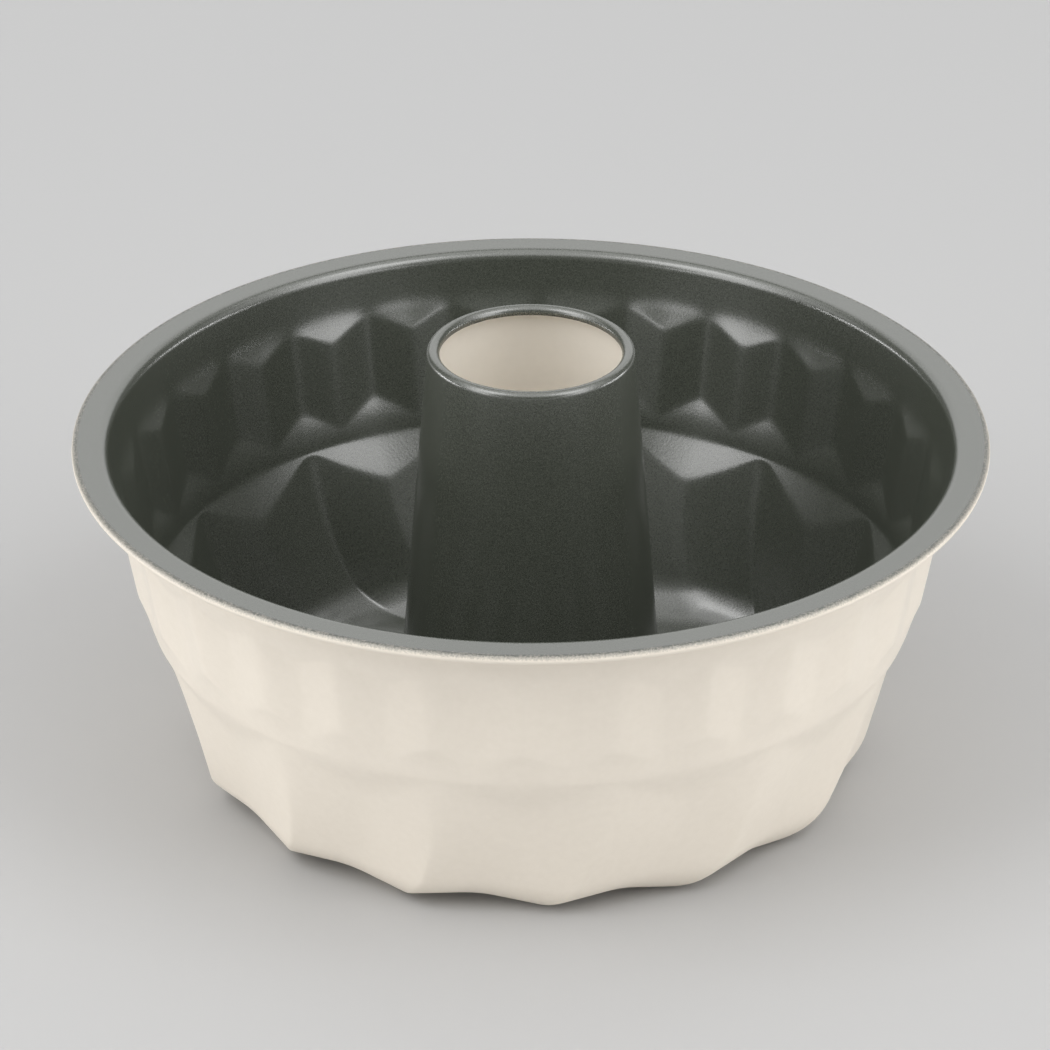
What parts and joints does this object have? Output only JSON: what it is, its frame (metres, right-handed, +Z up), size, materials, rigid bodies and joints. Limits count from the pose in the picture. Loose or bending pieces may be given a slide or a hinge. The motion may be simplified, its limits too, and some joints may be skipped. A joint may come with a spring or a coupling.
{
  "type": "fluted ring cake pan",
  "caption": "Fluted ring cake pan of coated steel sheet: swirled lobes below a band of narrow flutes, a flat rim with a curled edge, and a tall tapered tube seamed into the floor.",
  "frame": {"origin": "on the pan's axis, on the surface that the pan stands on", "axes": "+Z up along the axis of the bowl and the tube; +Y points at one of the wide inward ribs of the lower wall"},
  "size_m": [0.22, 0.22, 0.1105],
  "materials": {
    "cream_coat": "satin cream coat on the outside of the pan and the inside of the tube",
    "dark_nonstick": "finely speckled dark grey-green satin non-stick coat on the food side"
  },
  "bodies": {
    "root": {"fluted_bowl": "cream_coat", "centre_tube": "dark_nonstick"}
  },
  "joints": []
}
